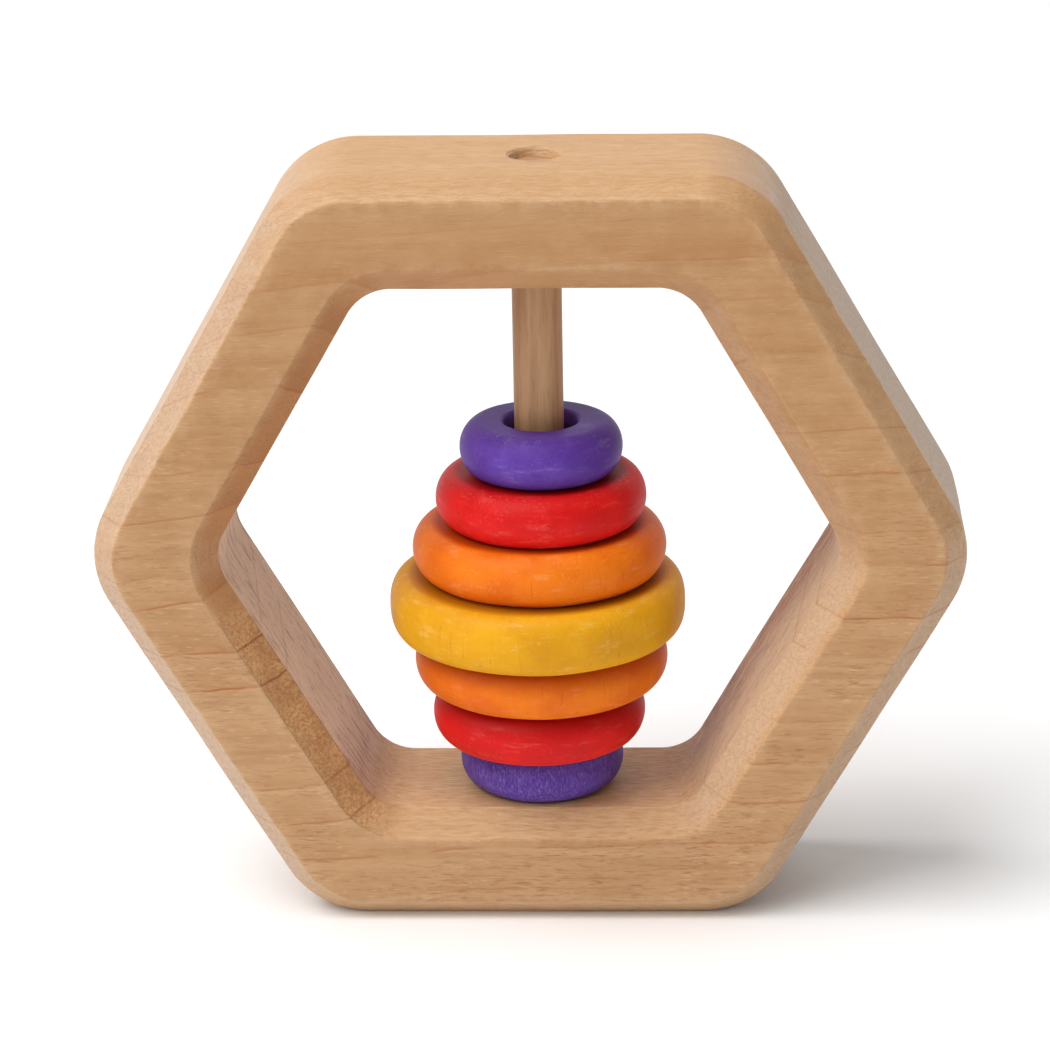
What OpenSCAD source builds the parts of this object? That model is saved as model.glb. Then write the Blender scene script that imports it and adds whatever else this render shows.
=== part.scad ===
// Wooden grasping rattle: a hexagonal hardwood frame with an upright dowel
// that carries seven loose wooden rings.
// The frame's front faces -Y, +X is to the right and +Z is up. The origin is
// the middle of the underside of the bottom bar.

/* [Frame] */
// Distance between two opposite outer flats of the hexagon
across_flats = 93; // [90:1:110]
// Depth of the frame from front to back
frame_depth = 24.6; // [20:0.2:30]
// Thickness of each bar, from its outer flat to its inner flat
bar_width = 13.75; // [12:0.25:16]
// Radius of the six outer corners
outer_corner_radius = 11.5; // [8:0.5:16]
// Radius of the six inner corners
inner_corner_radius = 6; // [4:0.5:10]
// Width of the chamfer round the outside, front and back
outer_chamfer = 2.6; // [1:0.1:4]
// Width of the chamfer round the opening, front and back
inner_chamfer = 3.1; // [1:0.1:4]

/* [Dowel] */
// Diameter of the dowel and of the holes that it is glued into
dowel_diameter = 6; // [5:0.5:8]
// Distance of the dowel from the middle of the frame, to the right
dowel_offset = 1.15; // [-2:0.05:2]
// Depth of the blind seat in the bottom bar
seat_depth = 8; // [4:0.5:9]
// Distance of the dowel's top end below the top flat
dowel_recess = 1; // [0.5:0.25:2]

/* [Rings] */
// Diameter of the two end rings
end_ring_diameter = 20; // [19:0.5:24]
// Diameter of the middle ring
middle_ring_diameter = 36; // [34:0.5:38]
// Thickness of each ring except the middle one
ring_thickness = 6.5; // [5.6:0.1:7]
// Thickness of the middle ring
middle_ring_thickness = 7.4; // [6:0.1:8]
// Diameter of the hole in every ring
ring_hole = 9; // [8.5:0.25:10]
// Radius of the rounding along each ring's rim
rim_radius = 2.55; // [1:0.05:2.75]

/* [Hidden] */
corner_facets = 36;
round_facets = 96;
ring_facets = 144;
// Air between two rings, and under the lowest one, so that none overlap
ring_gap = 0.03;
// How far a cutting shape runs past the face that it cuts
overrun = 1;

centre_height = across_flats / 2;
outer_apothem = across_flats / 2;
inner_apothem = outer_apothem - bar_width;
dowel_bottom = bar_width - seat_depth;
dowel_top = across_flats - dowel_recess;

// Rings are counted from the bottom, starting at 0, and grow towards the middle
ring_count = 7;
middle_ring = (ring_count - 1) / 2;
ring_step = (middle_ring_diameter - end_ring_diameter) / middle_ring;
function ring_diameter(i) = middle_ring_diameter - ring_step * abs(i - middle_ring);
function thickness_of(i) = i == middle_ring ? middle_ring_thickness : ring_thickness;
function ring_base(i) =
    i == 0 ? bar_width + ring_gap : ring_base(i - 1) + thickness_of(i - 1) + ring_gap;

maple = [0.80, 0.62, 0.43];
dowel_brown = [0.68, 0.53, 0.39];
purple = [0.37, 0.24, 0.60];
red = [0.85, 0.13, 0.14];
orange = [0.93, 0.46, 0.12];
yellow = [0.91, 0.68, 0.12];

// Copies a child to the six corner centres of a hexagon whose flats lie at
// the given apothem and whose corners have the given radius
module at_corners(apothem, radius) {
    for (i = [0 : 5])
        translate([0, 0, centre_height])
            rotate([0, 60 * i, 0])
                translate([(apothem - radius) / cos(30), 0, 0])
                    children();
}

// A cylinder or cone whose axis runs from the front to the back
module front_to_back(length, front_radius, back_radius) {
    rotate([-90, 0, 0])
        cylinder(h = length, r1 = front_radius, r2 = back_radius, center = true, $fn = corner_facets);
}

// The block that the frame is cut from: a rounded hexagon, chamfered front and back
module frame_block() {
    inside_radius = outer_corner_radius - outer_chamfer;
    hull()
        at_corners(outer_apothem, outer_corner_radius) {
            front_to_back(frame_depth, inside_radius, inside_radius);
            front_to_back(frame_depth - 2 * outer_chamfer, outer_corner_radius, outer_corner_radius);
        }
}

// The straight-sided part of the opening
module opening_bore() {
    hull()
        at_corners(inner_apothem, inner_corner_radius)
            front_to_back(frame_depth + 2 * overrun, inner_corner_radius, inner_corner_radius);
}

// The chamfer round the opening: side is -1 for the front face and 1 for the back
module opening_flare(side) {
    length = inner_chamfer + overrun;
    wide_radius = inner_corner_radius + length;
    hull()
        at_corners(inner_apothem, inner_corner_radius)
            translate([0, side * (frame_depth / 2 - inner_chamfer + length / 2), 0])
                front_to_back(
                    length,
                    side < 0 ? wide_radius : inner_corner_radius,
                    side < 0 ? inner_corner_radius : wide_radius
                );
}

module dowel_cylinder(bottom, top) {
    translate([dowel_offset, 0, bottom])
        cylinder(h = top - bottom, d = dowel_diameter, $fn = round_facets);
}

// One piece of board: the dowel hole goes right through the top bar and ends
// blind in the bottom bar
module hexagon_frame() {
    color(maple)
        difference() {
            frame_block();
            opening_bore();
            opening_flare(-1);
            opening_flare(1);
            dowel_cylinder(across_flats - bar_width - overrun, across_flats + overrun);
            dowel_cylinder(dowel_bottom, bar_width + overrun);
        }
}

module dowel() {
    color(dowel_brown)
        dowel_cylinder(dowel_bottom, dowel_top);
}

// Half of a ring's cross-section, standing beside its axis: flat top and
// bottom with a rounded rim
module ring_section(outer_radius, thickness) {
    hole_radius = ring_hole / 2;
    rim_centre = outer_radius - rim_radius;
    translate([hole_radius, 0])
        square([rim_centre - hole_radius, thickness]);
    translate([rim_centre - 0.01, rim_radius])
        square([rim_radius + 0.01, thickness - 2 * rim_radius]);
    for (height = [rim_radius, thickness - rim_radius])
        translate([rim_centre, height])
            circle(r = rim_radius, $fn = round_facets);
}

module ring(i, paint) {
    color(paint)
        translate([dowel_offset, 0, ring_base(i)])
            rotate_extrude($fn = ring_facets)
                ring_section(ring_diameter(i) / 2, thickness_of(i));
}

module bottom_purple_ring() { ring(0, purple); }
module lower_red_ring() { ring(1, red); }
module lower_orange_ring() { ring(2, orange); }
module middle_yellow_ring() { ring(3, yellow); }
module upper_orange_ring() { ring(4, orange); }
module upper_red_ring() { ring(5, red); }
module top_purple_ring() { ring(6, purple); }

hexagon_frame();
dowel();
bottom_purple_ring();
lower_red_ring();
lower_orange_ring();
middle_yellow_ring();
upper_orange_ring();
upper_red_ring();
top_purple_ring();
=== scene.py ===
"""Looks of the wooden grasping rattle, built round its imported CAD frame.

Lengths are metres. The frame's front faces -Y, +X is to the right and +Z is up.
"""

import math

import bmesh
import bpy
from mathutils import Matrix, Vector, noise


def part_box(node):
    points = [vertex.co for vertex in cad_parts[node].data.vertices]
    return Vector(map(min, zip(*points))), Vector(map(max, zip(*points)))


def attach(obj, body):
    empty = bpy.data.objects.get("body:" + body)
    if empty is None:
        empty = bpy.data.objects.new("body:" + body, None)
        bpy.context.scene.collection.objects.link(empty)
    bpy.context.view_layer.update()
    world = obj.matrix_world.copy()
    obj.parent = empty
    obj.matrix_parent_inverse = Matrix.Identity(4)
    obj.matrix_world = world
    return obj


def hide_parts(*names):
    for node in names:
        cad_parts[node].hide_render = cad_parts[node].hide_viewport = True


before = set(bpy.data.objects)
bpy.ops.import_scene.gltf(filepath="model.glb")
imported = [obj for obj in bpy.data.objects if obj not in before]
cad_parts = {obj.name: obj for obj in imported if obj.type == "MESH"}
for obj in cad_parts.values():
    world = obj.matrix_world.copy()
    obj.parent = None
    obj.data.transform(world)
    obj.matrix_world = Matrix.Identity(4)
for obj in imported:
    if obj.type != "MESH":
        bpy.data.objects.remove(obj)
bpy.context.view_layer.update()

MM = 0.001
# The unevenness of the hand-worked wood is drawn from this seed, so each run gives the same shapes
UNEVENNESS_SEED = 1
noise.seed_set(UNEVENNESS_SEED)
# Edges where the surface turns by more than this are shaded sharp
SHARP_ANGLE = math.radians(50)

# ---------------------------------------------------------------- dimensions

frame_low, frame_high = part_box("hexagon_frame")
FRAME_DEPTH = frame_high.y - frame_low.y
APOTHEM = (frame_high.z - frame_low.z) / 2
CENTRE_HEIGHT = (frame_high.z + frame_low.z) / 2
# The bottom ring floats this far above the bar it rests on
RING_GAP = 0.03 * MM
BAR_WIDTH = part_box("bottom_purple_ring")[0].z - RING_GAP - frame_low.z
OUTER_CHAMFER = 2.6 * MM
INNER_CHAMFER = 3.1 * MM
INNER_RADIUS = 6 * MM
COS_30 = math.cos(math.radians(30))
# The corners reach (APOTHEM - radius) / cos 30 + radius from the middle
OUTER_RADIUS = (APOTHEM / COS_30 - frame_high.x) / (1 / COS_30 - 1)
# Rounding of the edges between the frame's faces and its chamfers
EDGE_RADIUS = 0.55 * MM
# How far hand sanding has moved the frame's surface, and over what distance it wanders
FRAME_UNEVENNESS = 0.10 * MM
FRAME_WANDER = 13 * MM

dowel_low, dowel_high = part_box("dowel")
DOWEL_RADIUS = (dowel_high.x - dowel_low.x) / 2
DOWEL_X = (dowel_high.x + dowel_low.x) / 2
DOWEL_BEVEL = 0.3 * MM
DOWEL_TOP_BEVEL = 0.35 * MM
# How far the stick stays off the wall of the holes that it stands in
DOWEL_SLACK = 0.02 * MM
# Broken edge at the mouth of each hole that the dowel is glued into
HOLE_FLARE = 0.3 * MM

# How far the rounding reaches in from a ring's rim
RIM_DEPTH = 2.55 * MM
RING_UNEVENNESS = 0.05 * MM
RING_WANDER = 6 * MM
# Bevel at each end of a ring's hole
HOLE_BEVEL = 0.35 * MM
# How square each rim's section is: 2 is a half ellipse, and more is fuller
RIM_FULLNESS = 2.0
YELLOW_RIM_FULLNESS = 2.5
RINGS = {
    "bottom_purple_ring": "ring_1",
    "lower_red_ring": "ring_2",
    "lower_orange_ring": "ring_3",
    "middle_yellow_ring": "ring_4",
    "upper_orange_ring": "ring_5",
    "upper_red_ring": "ring_6",
    "top_purple_ring": "ring_7",
}
# Where each loose ring has come to rest round the dowel, right and back, and
# how much wider than its nominal radius it was turned
RING_FIT = {
    "bottom_purple_ring": (-0.3 * MM, 0.0, 0.0),
    "lower_red_ring": (-0.5 * MM, -1.1 * MM, 0.33 * MM),
    "lower_orange_ring": (-0.2 * MM, 0.2 * MM, 0.11 * MM),
    "middle_yellow_ring": (-0.55 * MM, 0.75 * MM, 0.0),
    "upper_orange_ring": (-0.25 * MM, 1.2 * MM, 0.09 * MM),
    "upper_red_ring": (0.05 * MM, 0.9 * MM, 0.08 * MM),
    "top_purple_ring": (0.2 * MM, 0.15 * MM, -0.18 * MM),
}


# ------------------------------------------------------------- mesh building

def rounded_polygon(points, radii, steps):
    """The closed polygon's points, with each corner replaced by an arc of its radius."""
    rounded = []
    count = len(points)
    for i, radius in enumerate(radii):
        corner = Vector(points[i])
        before = (Vector(points[i - 1]) - corner).normalized()
        after = (Vector(points[(i + 1) % count]) - corner).normalized()
        half_turn = (math.pi - before.angle(after)) / 2
        reach = radius * math.tan(half_turn)
        middle = corner + (before + after).normalized() * (radius / math.cos(half_turn))
        start = corner + before * reach - middle
        end = corner + after * reach - middle
        sweep = math.atan2(start.x * end.y - start.y * end.x, start.dot(end))
        for step in range(steps + 1):
            turn = Matrix.Rotation(sweep * step / steps, 2)
            rounded.append(middle + turn @ start)
    return rounded


def with_long_sides_split(points, longest):
    """The closed outline with every side split so that none is longer than the given length."""
    split = []
    for i, start in enumerate(points):
        end = points[(i + 1) % len(points)]
        parts = max(1, math.ceil((end - start).length / longest))
        split += [start.lerp(end, part / parts) for part in range(parts)]
    return split


def at_angle(degrees):
    """The unit vector this far round from +X towards +Z."""
    angle = math.radians(degrees)
    return Vector((math.cos(angle), math.sin(angle)))


def hexagon_outline(apothem, radius, arc_steps, side_steps):
    """Points round a hexagon with rounded corners, as (x, z) from its middle."""
    to_arc_middle = (apothem - radius) / COS_30
    outline = []
    for corner in range(0, 360, 60):
        arc_middle = at_angle(corner) * to_arc_middle
        for step in range(arc_steps + 1):
            outline.append(arc_middle + radius * at_angle(corner + 60 * (step / arc_steps - 0.5)))
        side_start = outline[-1]
        side_end = at_angle(corner + 60) * to_arc_middle + radius * at_angle(corner + 30)
        for step in range(1, side_steps):
            outline.append(side_start.lerp(side_end, step / side_steps))
    return outline


def new_piece(name, vertices, faces):
    """A smooth-shaded closed mesh object whose sharp edges stay crisp."""
    mesh = bpy.data.meshes.new(name)
    mesh.from_pydata([tuple(v) for v in vertices], [], faces)
    face_outwards(mesh)
    mesh.shade_smooth()
    mesh.set_sharp_from_angle(angle=SHARP_ANGLE)
    piece = bpy.data.objects.new(name, mesh)
    bpy.context.scene.collection.objects.link(piece)
    return piece


def face_outwards(mesh):
    """Turns every face's normal out of the closed mesh."""
    shape = bmesh.new()
    shape.from_mesh(mesh)
    bmesh.ops.recalc_face_normals(shape, faces=shape.faces)
    shape.to_mesh(mesh)
    shape.free()


def tube_faces(loops, points_per_loop):
    """Quads joining closed loops of points, the last loop back to the first."""
    faces = []
    for loop in range(loops):
        for point in range(points_per_loop):
            here = loop * points_per_loop + point
            beside = loop * points_per_loop + (point + 1) % points_per_loop
            above = (here + points_per_loop) % (loops * points_per_loop)
            above_beside = (beside + points_per_loop) % (loops * points_per_loop)
            faces.append((here, beside, above_beside, above))
    return faces


def hand_worked(point, size, wavelength, seed):
    """The point moved by a small smooth unevenness, as sanding by hand leaves."""
    place = Vector(point) / wavelength + Vector((seed, 3.1 * seed, 7.7 * seed))
    return Vector(point) + noise.noise_vector(place) * size


def set_attribute(mesh, name, values):
    """Keeps one number for each point, which a material reads by its name."""
    attribute = mesh.attributes.new(name, "FLOAT", "POINT")
    attribute.data.foreach_set("value", values)


# -------------------------------------------------------------- node helpers

class Nodes:
    """Short calls for building a material's node tree."""

    def __init__(self, name):
        self.material = bpy.data.materials.new(name)
        self.material.use_nodes = True
        self.tree = self.material.node_tree
        self.tree.nodes.clear()

    def add(self, kind, inputs=None, **settings):
        node = self.tree.nodes.new(kind)
        for setting, value in settings.items():
            setattr(node, setting, value)
        for socket, value in (inputs or {}).items():
            self.feed(node, socket, value)
        return node

    def feed(self, node, socket, value):
        if isinstance(value, bpy.types.NodeSocket):
            self.tree.links.new(value, node.inputs[socket])
        else:
            node.inputs[socket].default_value = value

    def math(self, operation, a, b=0.0):
        return self.add("ShaderNodeMath", {0: a, 1: b}, operation=operation).outputs[0]

    def times(self, a, b):
        return self.math("MULTIPLY", a, b)

    def plus(self, a, b):
        return self.math("ADD", a, b)

    def position(self):
        """The point on the piece in millimetres, as separate x, y and z."""
        return self.add("ShaderNodeSeparateXYZ", {0: self.place()}).outputs

    def place(self, scale=(1, 1, 1), shift=0.0):
        """The point on the piece in millimetres, stretched, and moved to another part of a noise."""
        coordinates = self.add("ShaderNodeTexCoord").outputs["Object"]
        in_mm = self.add(
            "ShaderNodeMapping",
            {"Vector": coordinates, "Location": (shift, shift, shift), "Scale": Vector(scale) / MM},
        )
        return in_mm.outputs[0]

    def noise(self, stretch, shift=0.0, detail=2.0, roughness=0.5, distortion=0.0):
        """Smooth noise, with so many features to the millimetre along x, y and z."""
        node = self.add(
            "ShaderNodeTexNoise",
            {
                "Vector": self.place(stretch, shift),
                "Scale": 1.0,
                "Detail": detail,
                "Roughness": roughness,
                "Distortion": distortion,
            },
        )
        return node.outputs["Fac"]

    def between(self, value, low, high, to_low=0.0, to_high=1.0, smooth=True):
        """The value mapped from one range to another, held at its ends."""
        node = self.add(
            "ShaderNodeMapRange",
            {
                "Value": value,
                "From Min": low,
                "From Max": high,
                "To Min": to_low,
                "To Max": to_high,
            },
            interpolation_type="SMOOTHSTEP" if smooth else "LINEAR",
        )
        return node.outputs[0]

    def mix(self, share, first, second):
        """The first colour going over to the second as the share goes from 0 to 1."""
        node = self.add("ShaderNodeMix", data_type="RGBA")
        for socket, value in ((0, share), (6, first), (7, second)):
            if isinstance(value, tuple):
                value = (*value, 1.0)
            self.feed(node, socket, value)
        return node.outputs[2]

    def bump(self, height, distance, strength=1.0, under=None):
        """A normal raised by the height, on top of the one under it."""
        inputs = {"Height": height, "Distance": distance, "Strength": strength}
        if under is not None:
            inputs["Normal"] = under
        return self.add("ShaderNodeBump", inputs).outputs[0]

    def texture_normal(self):
        """The way the smooth surface faces, on the piece's own axes."""
        return self.add("ShaderNodeTexCoord").outputs["Normal"]

    def attribute(self, name):
        """A mark that was set on the piece's points."""
        return self.add("ShaderNodeAttribute", attribute_name=name).outputs["Fac"]

    def surface(self, colour, roughness, normal, **settings):
        """The finished material; a setting is a shader socket's name with _ for each space."""
        shader = self.add(
            "ShaderNodeBsdfPrincipled",
            {"Base Color": colour, "Roughness": roughness, "Normal": normal},
        )
        for socket, value in settings.items():
            shader.inputs[socket.replace("_", " ")].default_value = value
        output = self.add("ShaderNodeOutputMaterial")
        self.tree.links.new(shader.outputs[0], output.inputs["Surface"])
        return self.material


# ----------------------------------------------------------------- materials

WOOD_IOR = 1.47

# Heights in millimetres where the board's dark growth lines cross the middle of the
# frame's front face: how strong each line is, and the tone that fades out above it
GROWTH_LINES = {
    4.6: (0.3, 0.3),
    9.9: (0.6, 0.6),
    14.9: (0.7, 0.7),
    19.7: (0.6, 0.6),
    24.5: (0.3, 0.3),
    33.0: (1.0, 1.0),
    38.0: (1.0, 1.0),
    44.7: (0.8, 0.8),
    48.8: (0.4, 0.4),
    55.9: (0.6, 0.6),
    61.7: (0.5, 0.5),
    71.0: (0.6, 0.7),
    77.6: (0.4, 0.6),
    82.4: (0.5, 1.4),
    87.6: (0.3, 0.2),
    91.0: (0.2, 0.2),
}


# A growth line rises to the right, and droops with the square of its distance from the middle
LINE_RISE = 0.055
LINE_DROOP = 0.0006
# Towards the back it rises in the lower bars and drops in the upper ones
BACKWARD_RISE_BELOW = 0.32
BACKWARD_DROP_ABOVE = 0.7
# Where the tone above the last growth line would end
BOARD_TOP = 100


def growth_height(nodes):
    """The board's growth height in millimetres: level along a growth layer."""
    x, y, z = nodes.position()
    depth = nodes.plus(y, FRAME_DEPTH / 2 / MM)
    drop = nodes.between(z, 48, 70, -BACKWARD_RISE_BELOW, BACKWARD_DROP_ABOVE)
    wander = nodes.noise((0.03, 0.05, 0.05), detail=1.0)
    fine_wander = nodes.noise((0.35, 0.35, 0.35))
    height = nodes.plus(z, nodes.times(x, -LINE_RISE))
    height = nodes.plus(height, nodes.times(nodes.times(x, x), LINE_DROOP))
    height = nodes.plus(height, nodes.times(depth, drop))
    height = nodes.plus(height, nodes.between(wander, 0, 1, -1.6, 1.6, smooth=False))
    return nodes.plus(height, nodes.between(fine_wander, 0, 1, -0.22, 0.22, smooth=False))


def growth_layers(nodes):
    """Two masks over the board: its thin dark growth lines, and the tone that fades above each."""
    height = growth_height(nodes)
    lines = 0.0
    tone = 0.0
    next_lines = [*GROWTH_LINES, BOARD_TOP][1:]
    for (line, (line_strength, tone_strength)), next_line in zip(GROWTH_LINES.items(), next_lines):
        above = nodes.math("SUBTRACT", height, line)
        thin = nodes.between(nodes.math("ABSOLUTE", above), 0.04, 0.22, line_strength, 0.0)
        start = nodes.between(above, -0.1, 0.25, 0.0, tone_strength)
        fade = nodes.between(above, 0.0, next_line - line, 1.0, 0.0, smooth=False)
        lines = nodes.plus(thin, lines)
        tone = nodes.plus(nodes.times(start, fade), tone)
    shown = nodes.between(nodes.noise((0.12, 0.2, 0.2)), 0.36, 0.52, 0.10, 1.0)
    for mark in ("torn", "oily"):
        shown = nodes.math("MAXIMUM", shown, nodes.times(nodes.attribute(mark), 0.9))
    return nodes.times(lines, shown), tone


def grain_dashes(nodes, fibre):
    """The short dark dashes of the fibres, in crowds, and fewer towards the top."""
    crowded = nodes.between(nodes.noise((0.07, 0.14, 0.14), shift=3), 0.35, 0.62, 0.25, 1)
    lower_down = nodes.between(nodes.position()["Z"], 25, 82, 1.5, 0.3)
    return nodes.times(nodes.times(nodes.between(fibre, 0.50, 0.68), crowded), lower_down)


def pale_flecks(nodes):
    """Short pale flecks, in crowds, and fainter towards the top."""
    fleck = nodes.noise((0.55, 2.4, 4.2), shift=5, roughness=0.7)
    crowded = nodes.between(nodes.noise((0.07, 0.1, 0.1), shift=9, detail=1.0), 0.4, 0.62, 0.3, 1)
    lower_down = nodes.between(nodes.position()["Z"], 25, 80, 0.55, 0.28)
    return nodes.times(nodes.times(nodes.between(fleck, 0.57, 0.74), crowded), lower_down)


def side_grain(nodes, lines, tone, dashes):
    """Colour where the fibres lie along the surface: bands, dashes and pale flecks."""
    streak = nodes.noise((0.04, 0.9, 0.9), detail=3.0, roughness=0.6)
    mottle = nodes.noise((0.22, 0.3, 0.3), shift=20, detail=3.0, roughness=0.6)
    upper = nodes.between(nodes.position()["Z"], 20, 75)
    light = nodes.mix(upper, (0.565, 0.330, 0.157), (0.515, 0.280, 0.117))
    deep = nodes.mix(upper, (0.465, 0.252, 0.107), (0.445, 0.229, 0.087))
    colour = nodes.mix(nodes.between(streak, 0.3, 0.7), light, deep)
    colour = nodes.mix(nodes.times(tone, 0.6), colour, (0.43, 0.19, 0.060))
    colour = nodes.mix(nodes.between(mottle, 0.35, 0.7, 0.0, 0.4), colour, (0.59, 0.34, 0.165))
    colour = nodes.mix(nodes.times(dashes, 0.62), colour, (0.37, 0.17, 0.067))
    colour = nodes.mix(pale_flecks(nodes), colour, (0.76, 0.52, 0.30))
    return nodes.mix(nodes.times(lines, 0.95), colour, (0.40, 0.13, 0.03))


def cross_grain(nodes, lines, rows):
    """Colour where the fibres are cut across: pinker, with dark pores in wavy rows."""
    pores = nodes.noise((1.2, 4.5, 4.5), detail=3.0, roughness=0.7)
    pores = nodes.between(pores, 0.42, 0.7, 0.0, 0.55)
    colour = nodes.mix(pores, (0.86, 0.65, 0.455), (0.59, 0.39, 0.245))
    colour = nodes.mix(nodes.between(rows, 0.50, 0.64, 0.0, 0.75), colour, (0.37, 0.215, 0.13))
    return nodes.mix(nodes.times(lines, 0.4), colour, (0.40, 0.18, 0.08))


def dry_and_sheen_colour(nodes, lines):
    """Colour of the pale, dusty sanded surfaces, with painted sheen of light off the floor and
    walls.
    """
    powder = nodes.noise((1.2, 3.2, 2.2), shift=11, detail=3.0, roughness=0.7)
    powder = nodes.between(powder, 0.40, 0.66, 0.0, 0.7)
    colour = nodes.mix(powder, (0.62, 0.462, 0.345), (0.41, 0.275, 0.190))
    return nodes.mix(nodes.times(lines, 0.4), colour, (0.42, 0.20, 0.09))


def oily_colour(nodes, lines, tone):
    """Colour where the oil has soaked in and browned the wood."""
    colour = nodes.mix(nodes.times(tone, 0.9), (0.51, 0.225, 0.078), (0.34, 0.12, 0.035))
    return nodes.mix(nodes.times(lines, 0.85), colour, (0.26, 0.07, 0.015))


def torn_colour(nodes, lines, shreds):
    """Colour where the cutter has torn the grain."""
    patches = nodes.between(nodes.noise((0.25, 0.25, 0.25), shift=2), 0.4, 0.65, 0.0, 0.4)
    colour = nodes.mix(nodes.between(shreds, 0.40, 0.60), (0.62, 0.28, 0.095), (0.85, 0.49, 0.21))
    colour = nodes.mix(patches, colour, (0.50, 0.22, 0.08))
    return nodes.mix(nodes.times(lines, 0.85), colour, (0.36, 0.10, 0.025))


def top_bands(nodes):
    """Broad soft bands along the top bar."""
    bands = nodes.between(nodes.noise((0.012, 0.42, 0.42), shift=23), 0.40, 0.60, 0.0, 0.42)
    return nodes.times(bands, nodes.between(nodes.position()["Z"], 76, 88))


def rubbed_edges(nodes):
    """Where the edges have lost their oil, in patches."""
    patches = nodes.noise((0.5, 0.5, 0.5), shift=17, detail=3.0, roughness=0.65)
    return nodes.times(nodes.attribute("edge"), nodes.between(patches, 0.38, 0.62, 0.15, 1.0))


def board_wood():
    """Pale oiled maple sawn from one board, with its grain level along X."""
    nodes = Nodes("board_wood")
    lines, tone = growth_layers(nodes)
    fibre = nodes.noise((0.45, 3.4, 3.4), detail=3.0, roughness=0.65)
    rows = nodes.noise((0.22, 1.25, 0.22), detail=4.0, roughness=0.68, distortion=1.1)
    shreds = nodes.noise((1.9, 2.6, 3.0), detail=4.0, roughness=0.7, distortion=0.3)
    normal_x = nodes.add("ShaderNodeSeparateXYZ", {0: nodes.texture_normal()}).outputs["X"]
    across = nodes.between(nodes.math("ABSOLUTE", normal_x), 0.60, 0.87)
    cut_share = nodes.times(across, nodes.between(normal_x, -0.5, 0.5, 0.35, 0.9))
    dark_rows = nodes.between(rows, 0.38, 0.58, 0.45, 1.0)
    # Painted light: brighter, warmer wood laid where the frame is brightened
    painted_light = nodes.mix(nodes.between(fibre, 0.35, 0.65), (0.76, 0.49, 0.25), (0.60, 0.345, 0.155))

    colour = side_grain(nodes, lines, tone, grain_dashes(nodes, fibre))
    coats = (
        (cut_share, 1.0, cross_grain(nodes, lines, rows)),
        # Pale dusty tone and painted sheen
        (nodes.attribute("dry_and_sheen"), 0.9, dry_and_sheen_colour(nodes, lines)),
        (nodes.attribute("oily"), 0.7, oily_colour(nodes, lines, tone)),
        # Darker in streaks on the lower right inner face towards the back, and near the lower left
        # corner
        (nodes.times(nodes.attribute("darkened"), dark_rows), 0.92, (0.29, 0.09, 0.032)),
        (nodes.attribute("painted_light"), 1.0, painted_light),
        (top_bands(nodes), 1.0, (0.52, 0.275, 0.115)),
        (nodes.attribute("torn"), 0.9, torn_colour(nodes, lines, shreds)),
        (rubbed_edges(nodes), 0.4, (0.68, 0.45, 0.26)),
    )
    for where, strength, coat in coats:
        colour = nodes.mix(nodes.times(where, strength), colour, coat)

    torn_depth = nodes.between(nodes.attribute("torn"), 0, 1, 0.14, 1.0, smooth=False)
    normal = nodes.bump(fibre, 0.16 * MM, 0.9)
    normal = nodes.bump(nodes.times(rows, across), 0.25 * MM, 0.6, under=normal)
    normal = nodes.bump(nodes.times(shreds, torn_depth), 0.6 * MM, under=normal)
    roughness = nodes.between(fibre, 0.3, 0.7, 0.42, 0.56)
    roughness = nodes.plus(roughness, nodes.times(across, 0.08))
    return nodes.surface(colour, roughness, normal, IOR=WOOD_IOR)


def dowel_wood():
    """Greyer, browner wood with fine dark pores running up the stick."""
    nodes = Nodes("dowel_wood")
    streak = nodes.noise((1.1, 1.1, 0.05), detail=3.0, roughness=0.6)
    pores = nodes.noise((5.0, 5.0, 0.22), detail=3.0, roughness=0.7)
    colour = nodes.mix(nodes.between(streak, 0.3, 0.7), (0.51, 0.29, 0.146), (0.405, 0.218, 0.10))
    colour = nodes.mix(nodes.between(pores, 0.52, 0.7, 0.0, 0.55), colour, (0.27, 0.15, 0.08))
    normal = nodes.bump(pores, 0.08 * MM, 0.6)
    roughness = nodes.between(pores, 0.3, 0.7, 0.45, 0.6)
    return nodes.surface(colour, roughness, normal, IOR=WOOD_IOR)


def scuffs(nodes):
    """Fine rubbed specks on a ring, most on its shoulders."""
    speck = nodes.noise((2.6, 2.6, 2.2), detail=3.0, roughness=0.78)
    rubbed = nodes.between(nodes.noise((0.25, 0.25, 0.4), shift=7), 0.42, 0.66, 0.1, 0.8)
    exposed = nodes.between(nodes.attribute("shoulder"), 0, 1, 0.25, 0.7)
    return nodes.times(nodes.times(nodes.between(speck, 0.53, 0.72), rubbed), exposed)


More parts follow.
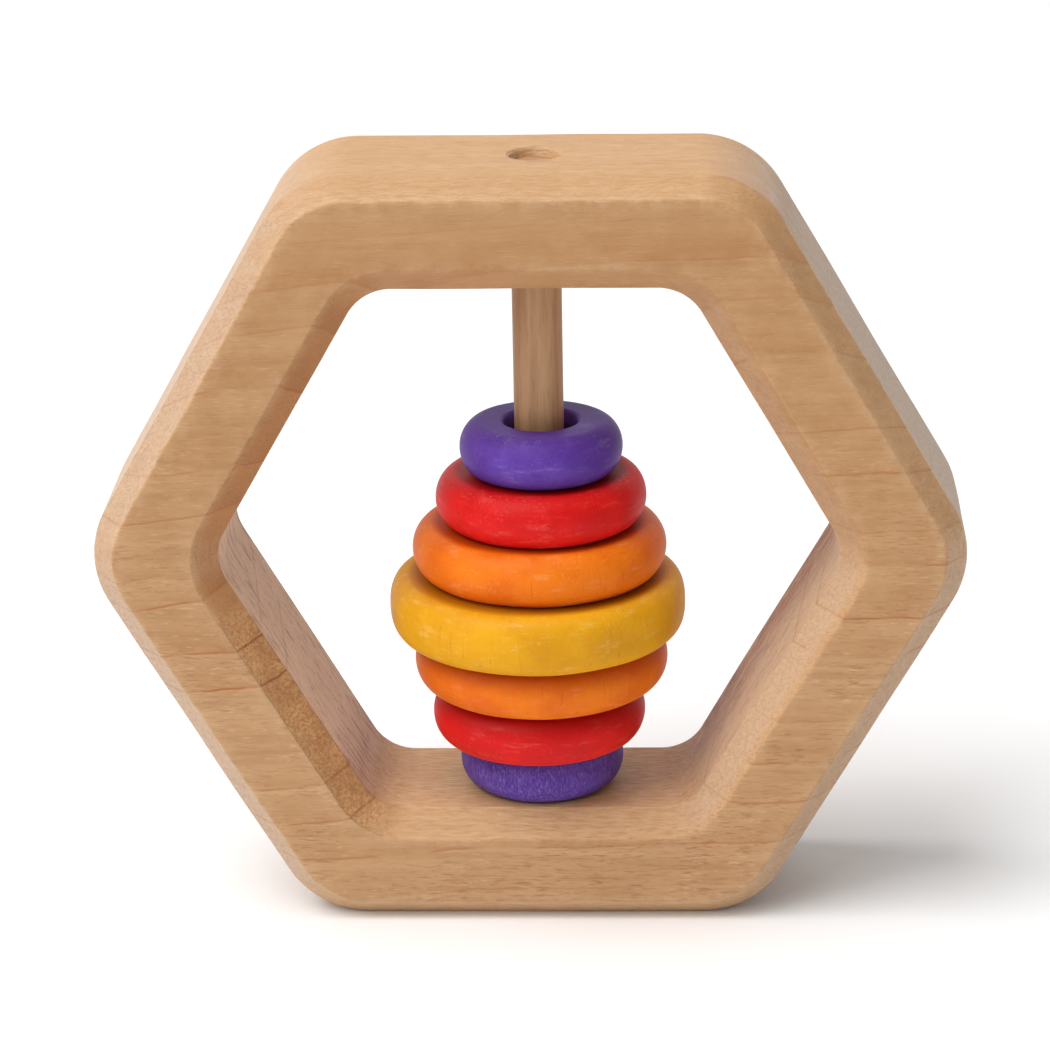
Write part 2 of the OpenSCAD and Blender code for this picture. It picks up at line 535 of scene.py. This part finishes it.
def stained_wood(name, deep, bright, dusty, fuzz=0.0):
    """Wood stained one colour, its grain running up; fuzz is how far its fibres stand up."""
    nodes = Nodes(name)
    cloud = nodes.noise((0.12, 0.12, 0.16), detail=3.0, roughness=0.55)
    streak = nodes.noise((1.6, 1.6, 0.16), detail=3.0, roughness=0.65)
    pores = nodes.noise((2.2, 2.2, 0.10), shift=4, roughness=0.6)
    strokes = nodes.noise((0.3, 0.3, 1.2), shift=13, detail=4.0, roughness=0.65)
    shreds = nodes.noise((4.5, 4.5, 1.1), detail=4.0, roughness=0.75)
    darkest = tuple(channel * (0.3 + 0.4 * channel) for channel in deep)
    colour = nodes.mix(nodes.between(cloud, 0.35, 0.65), deep, bright)
    colour = nodes.mix(nodes.between(streak, 0.5, 0.75, 0.0, 0.4), colour, deep)
    colour = nodes.mix(nodes.between(pores, 0.60, 0.75, 0.0, 0.25), colour, darkest)
    colour = nodes.mix(scuffs(nodes), colour, dusty)
    colour = nodes.mix(nodes.between(strokes, 0.54, 0.76, 0.0, 0.22), colour, dusty)
    if fuzz:
        colour = nodes.mix(nodes.between(shreds, 0.46, 0.70, 0.0, fuzz), colour, dusty)
        colour = nodes.mix(nodes.between(shreds, 0.46, 0.30, 0.0, fuzz), colour, darkest)
    # Painted shade: the colour goes darkest between rings and under the ring above
    colour = nodes.mix(nodes.times(nodes.attribute("painted_ring_shade"), 0.95), colour, darkest)
    normal = nodes.bump(streak, 0.05 * MM, 0.5)
    normal = nodes.bump(shreds, (0.05 + 0.4 * fuzz) * MM, 0.7, under=normal)
    roughness = nodes.between(cloud, 0.3, 0.7, 0.42, 0.54)
    return nodes.surface(colour, roughness, normal, IOR=WOOD_IOR, Specular_IOR_Level=0.18)


def plain_floor():
    """A pale, even, matt floor."""
    nodes = Nodes("plain_floor")
    soft = nodes.noise((0.004, 0.004, 0.004), detail=1.0)
    colour = nodes.mix(soft, (0.91, 0.91, 0.91), (0.93, 0.93, 0.93))
    return nodes.surface(colour, 0.9, nodes.bump(soft, 0.01 * MM, 0.1))


# ------------------------------------------------------------------- pieces

def frame_section():
    """Points round a bar's cross-section, as (distance in from the outer flat, y)."""
    half = FRAME_DEPTH / 2
    corners = [
        (0, half - OUTER_CHAMFER),
        (0, -half + OUTER_CHAMFER),
        (OUTER_CHAMFER, -half),
        (BAR_WIDTH - INNER_CHAMFER, -half),
        (BAR_WIDTH, -half + INNER_CHAMFER),
        (BAR_WIDTH, half - INNER_CHAMFER),
        (BAR_WIDTH - INNER_CHAMFER, half),
        (OUTER_CHAMFER, half),
    ]
    rounded = rounded_polygon(corners, [EDGE_RADIUS] * len(corners), steps=4)
    return with_long_sides_split(rounded, longest=1.6 * MM)


def corner_radius_at(inward):
    """Radius of the hexagon's corners at a distance in from the outer flats."""
    front_outer = OUTER_RADIUS - OUTER_CHAMFER
    front_inner = INNER_RADIUS + INNER_CHAMFER
    if inward <= OUTER_CHAMFER:
        return OUTER_RADIUS - inward
    if inward >= BAR_WIDTH - INNER_CHAMFER:
        return INNER_RADIUS + BAR_WIDTH - inward
    share = (inward - OUTER_CHAMFER) / (BAR_WIDTH - OUTER_CHAMFER - INNER_CHAMFER)
    return front_outer + share * (front_inner - front_outer)


# Degrees round the frame, from +X towards +Z, of the middle of each bar
UPPER_RIGHT, TOP, UPPER_LEFT, LOWER_LEFT, BOTTOM, LOWER_RIGHT = range(30, 360, 60)
# How strong each mark is along the bars that have it
# Pale dusty tone with painted sheen, as light off the white floor and walls would give
DRY_AND_SHEEN_OUTER_FLATS = {UPPER_RIGHT: 1.0, UPPER_LEFT: 0.8, LOWER_LEFT: 1.0, LOWER_RIGHT: 1.0}
DRY_AND_SHEEN_OUTER_CHAMFERS = {
    UPPER_RIGHT: 0.1,
    TOP: 0.1,
    UPPER_LEFT: 0.55,
    LOWER_LEFT: 0.75,
    BOTTOM: 0.35,
    LOWER_RIGHT: 0.52,
}
DRY_AND_SHEEN_INNER_CHAMFERS = {LOWER_RIGHT: 0.7, UPPER_RIGHT: 0.3, BOTTOM: 0.1}
OILY_INNER_CHAMFERS = {UPPER_LEFT: 0.9, TOP: 0.3}
# Painted light: how much each surface of these bars is brightened
PAINTED_LIGHT_INNER_FLATS = {BOTTOM: 0.9}
PAINTED_LIGHT_INNER_CHAMFERS = {BOTTOM: 0.4, LOWER_RIGHT: 0.3, TOP: 0.1}
PAINTED_LIGHT_OUTER_FLATS = {TOP: 0.35}
PAINTED_LIGHT_OUTER_CHAMFERS = {TOP: 0.35, BOTTOM: 0.5}
# Slack between a mark's edge and the edge of the face or chamfer that it is on
MARK_MARGIN = 0.1 * MM


def smooth_step(value, low, high):
    """0 below the range, 1 above it, and a smooth rise between."""
    share = min(1.0, max(0.0, (value - low) / (high - low)))
    return share * share * (3 - 2 * share)


def round_the_frame(x, z):
    """Degrees round the frame, from +X towards +Z."""
    return math.degrees(math.atan2(z - CENTRE_HEIGHT, x)) % 360


def bar_window(turn, middle):
    """1 along one bar of the frame, fading to 0 over its two corners."""
    fade_start, fade_end = 24, 36
    off = abs((turn - middle + 180) % 360 - 180)
    return min(1.0, max(0.0, (fade_end - off) / (fade_end - fade_start)))


def along_bars(strengths, turn):
    """The mark's strength here, from its strength on each bar."""
    return max(strength * bar_window(turn, bar) for bar, strength in strengths.items())


def on_outer_side(inward):
    """On an outer flat or an outer chamfer."""
    return inward < OUTER_CHAMFER - MARK_MARGIN


def in_outer_chamfer(y):
    """At the depth of an outer chamfer, at the front or the back."""
    return abs(y) > FRAME_DEPTH / 2 - OUTER_CHAMFER - MARK_MARGIN


def on_inner_chamfer(inward, y, margin):
    """On a chamfer round the opening, and at least the margin in from the face beside it."""
    past_face = inward >= BAR_WIDTH - INNER_CHAMFER + margin
    return past_face and abs(y) >= FRAME_DEPTH / 2 - INNER_CHAMFER


def torn_grain(x, z, inward, y):
    """How roughly the cutter left the grain: most on the lower left inner chamfer."""
    if not on_inner_chamfer(inward, y, MARK_MARGIN):
        return 0.0
    turn = round_the_frame(x, z)
    return smooth_step(turn, 189, 194) * (1 - smooth_step(turn, 232, 248))


def darkened_inner_faces(x, z, inward, y):
    """Where the inner faces are darker in streaks: the lower right one, more towards the back, and
    the lower left one near the bottom corner.
    """
    if inward < BAR_WIDTH - MARK_MARGIN:
        return 0.0
    turn = round_the_frame(x, z)
    back = smooth_step(y, -4 * MM, 8 * MM)
    left_corner = max(0.0, 1 - abs(turn - 234) / 9)
    return max(back * bar_window(turn, LOWER_RIGHT), 0.55 * left_corner)


def dry_and_sheen_amount(x, z, inward, y):
    """How pale and dusty the sanded surface is, with painted sheen: most on the outer sides."""
    turn = round_the_frame(x, z)
    if on_outer_side(inward):
        return along_bars(DRY_AND_SHEEN_OUTER_CHAMFERS if in_outer_chamfer(y) else DRY_AND_SHEEN_OUTER_FLATS, turn)
    if on_inner_chamfer(inward, y, 2 * MARK_MARGIN):
        return along_bars(DRY_AND_SHEEN_INNER_CHAMFERS, turn)
    return 0.0


def oily_grain(x, z, inward, y):
    """How brown the inner chamfers are: most on the upper left one and its lower corner."""
    if not on_inner_chamfer(inward, y, 2 * MARK_MARGIN):
        return 0.0
    turn = round_the_frame(x, z)
    left_corner = smooth_step(turn, 165, 172) * (1 - smooth_step(turn, 188, 192))
    return max(along_bars(OILY_INNER_CHAMFERS, turn), 0.7 * left_corner)


def painted_light_amount(x, z, inward, y):
    """How much painted light brightens the wood: most on the flat that the rings stand on, which
    lies in their shade.
    """
    turn = round_the_frame(x, z)
    if inward > BAR_WIDTH - MARK_MARGIN:
        return along_bars(PAINTED_LIGHT_INNER_FLATS, turn)
    if inward > BAR_WIDTH - INNER_CHAMFER + MARK_MARGIN:
        return along_bars(PAINTED_LIGHT_INNER_CHAMFERS, turn)
    if on_outer_side(inward):
        return along_bars(PAINTED_LIGHT_OUTER_CHAMFERS if in_outer_chamfer(y) else PAINTED_LIGHT_OUTER_FLATS, turn)
    return 0.0


def worn_edge(x, z, inward, y):
    """1 along the edges of the front and back faces, where the oil has rubbed off."""
    reach = 0.7 * MM
    off_outer = math.hypot(inward - OUTER_CHAMFER, FRAME_DEPTH / 2 - abs(y))
    off_inner = math.hypot(inward - BAR_WIDTH + INNER_CHAMFER, FRAME_DEPTH / 2 - abs(y))
    return max(0.0, 1 - off_outer / reach, 0.8 - off_inner / reach)


WORKED_GRAIN = {
    "torn": torn_grain,
    "dry_and_sheen": dry_and_sheen_amount,
    "oily": oily_grain,
    "darkened": darkened_inner_faces,
    "edge": worn_edge,
    "painted_light": painted_light_amount,
}


def true_height(worked, planned):
    """The worked height, kept off the floor and out of the rings' way over and under them."""
    bar_top = frame_low.z + BAR_WIDTH
    bar_underside = frame_high.z - BAR_WIDTH
    slack = 0.01 * MM
    if planned < bar_top + slack:
        worked = min(worked, bar_top)
    if planned > bar_underside - slack:
        worked = max(worked, bar_underside)
    return max(worked, frame_low.z)


def build_frame():
    section = frame_section()
    vertices = []
    marks = {name: [] for name in WORKED_GRAIN}
    for inward, y in section:
        radius = corner_radius_at(inward)
        for x, up in hexagon_outline(APOTHEM - inward, radius, arc_steps=16, side_steps=36):
            z = up + CENTRE_HEIGHT
            point = hand_worked((x, y, z), FRAME_UNEVENNESS, FRAME_WANDER, seed=1.0)
            point.z = true_height(point.z, z)
            vertices.append(point)
            for name, amount in WORKED_GRAIN.items():
                marks[name].append(amount(x, z, inward, y))
    points_per_loop = len(vertices) // len(section)
    piece = new_piece("frame_board", vertices, tube_faces(len(section), points_per_loop))
    for name, values in marks.items():
        set_attribute(piece.data, name, values)
    bar_top = frame_low.z + BAR_WIDTH
    drill(piece, bottom=frame_high.z - BAR_WIDTH - MM, top=frame_high.z + MM, mouth=frame_high.z)
    drill(piece, bottom=dowel_low.z, top=bar_top + MM, mouth=bar_top)
    piece.data.set_sharp_from_angle(angle=SHARP_ANGLE)
    return piece


def drill(piece, bottom, top, mouth):
    """Cuts a hole for the dowel, with a lightly broken edge at its mouth."""
    wide = DOWEL_RADIUS + HOLE_FLARE
    stations = [
        (bottom, DOWEL_RADIUS),
        (mouth - HOLE_FLARE, DOWEL_RADIUS),
        (mouth, wide),
        (top, wide + top - mouth),
    ]
    around = 64
    vertices = []
    for z, radius in stations:
        vertices += circle(radius, z, around)
    last = (len(stations) - 1) * around
    faces = tube_faces(len(stations), around)[:last]
    faces.append(tuple(range(around)))
    faces.append(tuple(range(last, last + around)))
    cutter = new_piece("cutter", vertices, faces)
    cut = piece.modifiers.new("drill", "BOOLEAN")
    cut.operation = "DIFFERENCE"
    cut.solver = "EXACT"
    cut.object = cutter
    apply_modifiers(piece)
    bpy.data.objects.remove(cutter)


def circle(radius, z, around):
    """Points of a level circle round the dowel's axis."""
    angles = [math.tau * i / around for i in range(around)]
    return [(DOWEL_X + radius * math.cos(a), radius * math.sin(a), z) for a in angles]


def apply_modifiers(piece):
    graph = bpy.context.evaluated_depsgraph_get()
    graph.update()
    applied = bpy.data.meshes.new_from_object(piece.evaluated_get(graph))
    piece.modifiers.clear()
    piece.data = applied


def lathe(name, section, centre, around, seed):
    """A closed ring swept from (radius, height) points round a vertical axis."""
    vertices = []
    for i in range(around):
        angle = math.tau * i / around
        outwards = Vector((math.cos(angle), math.sin(angle), 0))
        for radius, height in section:
            point = centre + outwards * radius + Vector((0, 0, height))
            vertices.append(hand_worked(point, RING_UNEVENNESS, RING_WANDER, seed))
    return new_piece(name, vertices, tube_faces(around, len(section)))


def build_dowel():
    """A round stick with both ends lightly bevelled, its end faces fans of triangles."""
    body_radius = DOWEL_RADIUS - DOWEL_SLACK
    body_low = dowel_low.z + DOWEL_BEVEL
    body_high = dowel_high.z - DOWEL_TOP_BEVEL
    body_steps = 60
    around = 72
    stations = [(DOWEL_RADIUS - DOWEL_BEVEL, dowel_low.z)]
    for step in range(body_steps + 1):
        stations.append((body_radius, body_low + (body_high - body_low) * step / body_steps))
    stations.append((DOWEL_RADIUS - DOWEL_TOP_BEVEL, dowel_high.z))
    stations.append((DOWEL_RADIUS / 2, dowel_high.z))
    vertices = []
    for radius, z in stations:
        vertices += circle(radius, z, around)
    last = (len(stations) - 1) * around
    faces = tube_faces(len(stations), around)[:last]
    for height, loop in ((dowel_low.z, 0), (dowel_high.z, last)):
        middle = len(vertices)
        vertices.append((DOWEL_X, 0, height))
        for i in range(around):
            faces.append((middle, loop + i, loop + (i + 1) % around))
    return new_piece("dowel_stick", vertices, faces)


def ring_section(hole, outer, height, fullness):
    """Points round a ring's section, as (radius, height): flat faces and a rounded rim."""
    inner = hole + HOLE_BEVEL
    rim_start = outer - RIM_DEPTH
    flat_steps = 12
    rim_steps = 40
    flat = [inner + (rim_start - inner) * i / flat_steps for i in range(flat_steps)]
    section = [(radius, 0.0) for radius in flat]
    for step in range(rim_steps + 1):
        angle = math.pi * (step / rim_steps - 0.5)
        out = math.cos(angle) ** (2 / fullness)
        up = math.copysign(abs(math.sin(angle)) ** (2 / fullness), angle)
        section.append((rim_start + RIM_DEPTH * out, height / 2 * (1 + up)))
    section += [(radius, height) for radius in reversed(flat)]
    section += [(hole, height - HOLE_BEVEL), (hole, HOLE_BEVEL)]
    return section


def shoulder_mark(radius, off_flat, outer):
    """1 on the turn between a flat and the rim, where a ring gets scuffed."""
    off_shoulder = math.hypot(radius - outer + 0.8 * RIM_DEPTH, off_flat)
    return max(0.0, 1.0 - off_shoulder / (1.4 * MM))


def painted_ring_shade_mark(node, radius, up, height, outer):
    """Painted shade on a ring: dark where it touches the next ring, and a painted shadow under the
    overhang of the wider ring above.
    """
    upper_half = up > height / 2
    off_flat = min(up, height - up)
    touching = off_flat < 0.5 * MM and not (upper_half and node == "top_purple_ring")
    reach = outer - RIM_DEPTH + (0.6 * MM if upper_half else 0.0) - radius
    by_contact = smooth_step(reach, 0.0, 1.3 * MM) if touching else 0.0
    overhung = smooth_step(up, 0.5 * height, 0.95 * height) if node.startswith("lower") else 0.0
    return max(by_contact, 0.8 * overhung)


def build_ring(node, seed):
    low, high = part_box(node)
    right, back, wider = RING_FIT[node]
    centre = Vector(((low.x + high.x) / 2 + right, (low.y + high.y) / 2 + back, low.z))
    outer = (high.x - low.x) / 2 + wider
    height = high.z - low.z
    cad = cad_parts[node].data
    hole = min(math.hypot(v.co.x - DOWEL_X, v.co.y) for v in cad.vertices)
    fullness = YELLOW_RIM_FULLNESS if node == "middle_yellow_ring" else RIM_FULLNESS
    section = ring_section(hole, outer, height, fullness)
    piece = lathe(node.replace("_ring", "_hoop"), section, centre, around=180, seed=seed)
    shoulder = []
    painted_ring_shade = []
    for v in piece.data.vertices:
        v.co.z = min(max(v.co.z, low.z), high.z)
        radius = math.hypot(v.co.x - centre.x, v.co.y - centre.y)
        up = v.co.z - low.z
        shoulder.append(shoulder_mark(radius, min(up, height - up), outer))
        painted_ring_shade.append(painted_ring_shade_mark(node, radius, up, height, outer))
    set_attribute(piece.data, "shoulder", shoulder)
    set_attribute(piece.data, "painted_ring_shade", painted_ring_shade)
    return piece


def dress(piece, body, node, material):
    piece.data.materials.clear()
    piece.data.materials.append(material)
    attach(piece, body)
    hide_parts(node)


dress(build_frame(), "frame", "hexagon_frame", board_wood())
dress(build_dowel(), "frame", "dowel", dowel_wood())

# Each stain's deep and bright colours, and the colour of its scuffs
RING_PAINT = {
    "purple": stained_wood(
        "purple_wood", (0.092, 0.034, 0.29), (0.132, 0.055, 0.39), (0.34, 0.28, 0.52)
    ),
    "purple_rough": stained_wood(
        "purple_rough_wood", (0.10, 0.038, 0.32), (0.14, 0.06, 0.41), (0.32, 0.27, 0.54), fuzz=0.5
    ),
    "red": stained_wood(
        "red_wood", (0.62, 0.0065, 0.0065), (0.75, 0.011, 0.009), (0.88, 0.22, 0.17)
    ),
    "orange": stained_wood(
        "orange_wood", (0.76, 0.14, 0.004), (0.87, 0.20, 0.006), (0.96, 0.48, 0.22)
    ),
    "yellow": stained_wood(
        "yellow_wood", (0.70, 0.31, 0.005), (0.79, 0.375, 0.007), (0.95, 0.70, 0.28)
    ),
}
for order, (node, body) in enumerate(RINGS.items()):
    colour_name = node.split("_")[1]
    paint = "purple_rough" if node == "bottom_purple_ring" else colour_name
    dress(build_ring(node, seed=order + 2.0), body, node, RING_PAINT[paint])


# ---------------------------------------------------------- floor and lights

def build_floor():
    side = 4.0
    cells = 8
    row_length = cells + 1
    steps = [side * (i / cells - 0.5) for i in range(row_length)]
    vertices = [(x, y, frame_low.z) for y in steps for x in steps]
    faces = []
    for row in range(cells):
        for column in range(cells):
            near = row * row_length + column
            far = near + row_length
            faces.append((near, near + 1, far + 1, far))
    mesh = bpy.data.meshes.new("floor")
    mesh.from_pydata(vertices, [], faces)
    floor = bpy.data.objects.new("floor", mesh)
    bpy.context.scene.collection.objects.link(floor)
    mesh.materials.append(plain_floor())


def soft_light(name, direction, distance, size, strength):
    """A round soft light; at strength 1 it alone lights a white card facing it to white."""
    data = bpy.data.lights.new(name, "AREA")
    data.shape = "DISK"
    data.size = size
    data.energy = strength * (math.pi * distance) ** 2
    light = bpy.data.objects.new(name, data)
    target = Vector((0, 0, CENTRE_HEIGHT))
    light.location = target + Vector(direction).normalized() * distance
    light.rotation_euler = (target - light.location).to_track_quat("-Z", "Y").to_euler()
    bpy.context.scene.collection.objects.link(light)


# Strengths of the world's light from each side, and what is added from behind
LEFT_WALL_STRENGTH = 0.36
RIGHT_WALL_STRENGTH = 0.25
BACK_WALL_EXTRA = 0.6


def build_studio():
    """White studio walls, brighter to the left and behind than to the right and in front."""
    world = bpy.data.worlds.new("studio")
    bpy.context.scene.world = world
    world.use_nodes = True
    tree = world.node_tree
    coordinates = tree.nodes.new("ShaderNodeTexCoord")
    direction = tree.nodes.new("ShaderNodeSeparateXYZ")
    total = tree.nodes.new("ShaderNodeMath")
    tree.links.new(coordinates.outputs["Generated"], direction.inputs[0])
    walls = (
        ("X", -1, 1, LEFT_WALL_STRENGTH, RIGHT_WALL_STRENGTH),
        ("Y", 0.2, 0.9, 0.0, BACK_WALL_EXTRA),
    )
    for order, (axis, *values) in enumerate(walls):
        wall = tree.nodes.new("ShaderNodeMapRange")
        for socket, value in zip(("From Min", "From Max", "To Min", "To Max"), values):
            wall.inputs[socket].default_value = value
        tree.links.new(direction.outputs[axis], wall.inputs["Value"])
        tree.links.new(wall.outputs[0], total.inputs[order])
    background = tree.nodes["Background"]
    background.inputs["Color"].default_value = (1, 1, 1, 1)
    tree.links.new(total.outputs[0], background.inputs["Strength"])


build_floor()
build_studio()
soft_light("overhead", (-0.36, -0.17, 0.92), distance=2.2, size=1.9, strength=1.0)
soft_light("front", (-0.42, -0.66, 0.62), distance=1.8, size=0.8, strength=0.2)
soft_light("left", (-0.97, -0.14, 0.22), distance=1.6, size=1.0, strength=0.12)
bpy.context.scene.view_settings.view_transform = "Standard"


# ------------------------------------------------------------------- camera

CAMERA_AZIMUTH = math.radians(2.63)
CAMERA_ELEVATION = math.radians(19.62)
CAMERA_ROLL = math.radians(-1.09)
CAMERA_DISTANCE = 438.7 * MM
CAMERA_TARGET = Vector((-0.2 * MM, frame_low.y, CENTRE_HEIGHT + 4.8 * MM))
# Focal length and sensor width in millimetres
CAMERA_LENS = 127.9
CAMERA_SENSOR = 36


def build_camera():
    """Stands the camera off its target, in front, a little right and above."""
    data = bpy.data.cameras.new("camera")
    data.lens = CAMERA_LENS
    data.sensor_width = CAMERA_SENSOR
    data.clip_start = 0.01
    camera = bpy.data.objects.new("camera", data)
    back = Vector((
        math.sin(CAMERA_AZIMUTH) * math.cos(CAMERA_ELEVATION),
        -math.cos(CAMERA_AZIMUTH) * math.cos(CAMERA_ELEVATION),
        math.sin(CAMERA_ELEVATION),
    ))
    camera.location = CAMERA_TARGET + back * CAMERA_DISTANCE
    look = (-back).to_track_quat("-Z", "Y").to_matrix()
    camera.rotation_euler = (look @ Matrix.Rotation(CAMERA_ROLL, 3, "Z")).to_euler()
    bpy.context.scene.collection.objects.link(camera)
    bpy.context.scene.camera = camera


build_camera()
